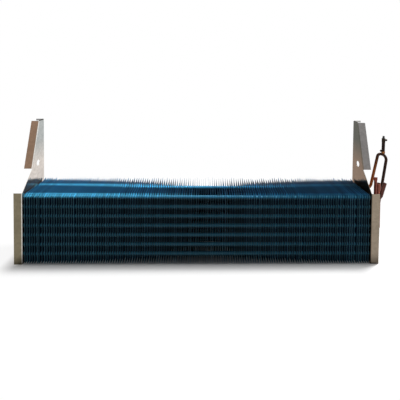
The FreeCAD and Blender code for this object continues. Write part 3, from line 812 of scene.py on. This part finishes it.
def floor_paint():
    """Paint, mixed with glow for directly seen rays: 0.9 of it 5 cm from the foot, and all of it at 50 cm."""
    paint = Finish("floor_paint")
    camera = output_of(paint.tree, "LightPath", {}, "Is Camera Ray")
    paint.give("Base Color", mixed(camera, (0.12, 0.12, 0.12), (0.9, 0.9, 0.9)))
    paint.give("Roughness", 0.9)
    away = clear_of(paint.place, COIL_FOOT)
    near = span(step(away, 0.0, 0.05), 0.0, 0.9)
    far = span(step(away, 0.05, 0.5), 0.0, 0.1)
    share = sums("MULTIPLY", sums("ADD", near, far), seen_directly(paint.tree))
    glow = output_of(paint.tree, "Emission", {"Color": (1, 1, 1, 1)}, "Emission")
    shaders = {"Fac": share, 1: paint.shader.outputs["BSDF"], 2: glow}
    mix = output_of(paint.tree, "MixShader", shaders, "Shader")
    fill(output_socket(paint.tree, "OUTPUT_MATERIAL", "Surface"), mix)
    return paint.done()


bpy.ops.mesh.primitive_plane_add(size=FLOOR_SIZE, location=(0, 0, 0))
floor = bpy.context.object
floor.name = "floor"
floor.data.materials.append(floor_paint())

# %% [markdown]
# ## Sky
# The world is the light that comes from everywhere. It is a weak grey for the rays that light the coil, which
# lifts its shadows a little, and a plain white for the rays that are seen directly. A picture of a real
# studio could stand in its place, but plain colours keep the metal's reflections calm.

# %% Studio sky
SKY_GREY, SKY_STRENGTH = (0.8, 0.8, 0.8, 1), 0.25


def studio_sky():
    """Grey light at a low strength, mixed with plain white by how a ray came."""
    world = bpy.data.worlds.new("studio")
    bpy.context.scene.world = world
    world.use_nodes = True
    tree = world.node_tree
    lights = {"Color": SKY_GREY, "Strength": SKY_STRENGTH}
    white = {"Color": (1, 1, 1, 1), "Strength": 1.0}
    shaders = {"Fac": seen_directly(tree), 1: output_of(tree, "Background", lights, "Background"),
               2: output_of(tree, "Background", white, "Background")}
    fill(output_socket(tree, "OUTPUT_WORLD", "Surface"), output_of(tree, "MixShader", shaders, "Shader"))
    return world


print(f"sky {studio_sky().name} at a strength of {SKY_STRENGTH}")

# %% [markdown]
# ## Lamps
# A strong key lamp stands high over the right end, a little behind the coil. It lights the fins' top and the
# left plate's inner face, and leaves the front dark. A large weak lamp above and a weak one at the right
# soften the shadows. Area lamps are used because a surface gives soft shadow edges, as a studio's soft boxes
# do. Each is turned so that its face looks at its aim.

# %% Three soft lamps
def soft_lamp(name, place, aim, size, watts):
    """A square lamp at a place, whose face looks at the aim."""
    data = bpy.data.lights.new(name, "AREA")
    data.shape = "SQUARE"
    data.size = size
    data.energy = watts
    lamp = bpy.data.objects.new(name, data)
    lamp.location = place
    lamp.rotation_euler = (Vector(aim) - Vector(place)).to_track_quat("-Z", "Y").to_euler()
    bpy.context.scene.collection.objects.link(lamp)
    print(f"lamp {name}: {watts} W over {size} m")


soft_lamp("key", (1.25, 0.45, 2.6), (0, 0, 0.15), size=0.5, watts=115)
soft_lamp("top", (-0.2, 0.5, 2.4), (-0.1, 0, 0.1), size=1.2, watts=8)
soft_lamp("side", (1.7, -0.3, 1.5), (0.3, 0, 0.15), size=0.8, watts=6)

# %% [markdown]
# ## Camera
# The camera stands at the photograph's viewpoint. Its place, turn and focal length were found by fitting the
# edges of the plates and the lines of the tubes, in an image of 400 by 400 pixels, and are written here as
# plain numbers. The camera is tilted very little and shifted instead, as for a picture of a building, so
# upright edges stay nearly upright. shift_x and shift_y move the image on the sensor.

# %% The fitted viewpoint
IMAGE = 400
SENSOR = 36
FOCAL_PIXELS = 304.7
PRINCIPAL = (211.03, 75.98)
YAW, PITCH, ROLL = 0.017, 0.026, 0.009
VIEWPOINT_FROM_LEFT_PLATE = Vector((479.66, -798.64, 522.62)) * MM


def viewing_axes():
    """Right, up and backwards of the camera: looking along Y, turned by yaw, then pitch, then roll."""
    ahead = Vector((math.sin(YAW), math.cos(YAW), 0))
    side = Vector((math.cos(YAW), -math.sin(YAW), 0))
    upward = Vector((0, 0, 1))
    forward = ahead * math.cos(PITCH) - upward * math.sin(PITCH)
    upward = upward * math.cos(PITCH) + ahead * math.sin(PITCH)
    right = side * math.cos(ROLL) + upward * math.sin(ROLL)
    return right, upward * math.cos(ROLL) - side * math.sin(ROLL), -forward


# %% [markdown]
# ## Set the camera up
# The lens in millimetres is the focal length in pixels times the sensor's width over the image's. The place
# is measured from the left plate, so the view follows the plate if it moves. A camera's matrix has its
# right, up and backward directions as columns, followed by its place.

# %% Photo camera
def photo_camera():
    """A camera with the fitted lens, shift, turn and place."""
    data = bpy.data.cameras.new("photo_camera")
    data.sensor_width = SENSOR
    data.lens = FOCAL_PIXELS / IMAGE * SENSOR
    data.shift_x = -(PRINCIPAL[0] - IMAGE / 2) / IMAGE
    data.shift_y = -(IMAGE / 2 - PRINCIPAL[1]) / IMAGE
    camera = bpy.data.objects.new("photo_camera", data)
    place = Vector((left_high.x, left_low.y, 0)) + VIEWPOINT_FROM_LEFT_PLATE
    camera.matrix_world = Matrix.Translation(place) @ Matrix(viewing_axes()).transposed().to_4x4()
    bpy.context.scene.collection.objects.link(camera)
    bpy.context.scene.camera = camera
    print(f"camera with a {data.lens:.1f} mm lens at {[round(side, 3) for side in place]}")


photo_camera()
bpy.context.scene.view_settings.view_transform = "Standard"
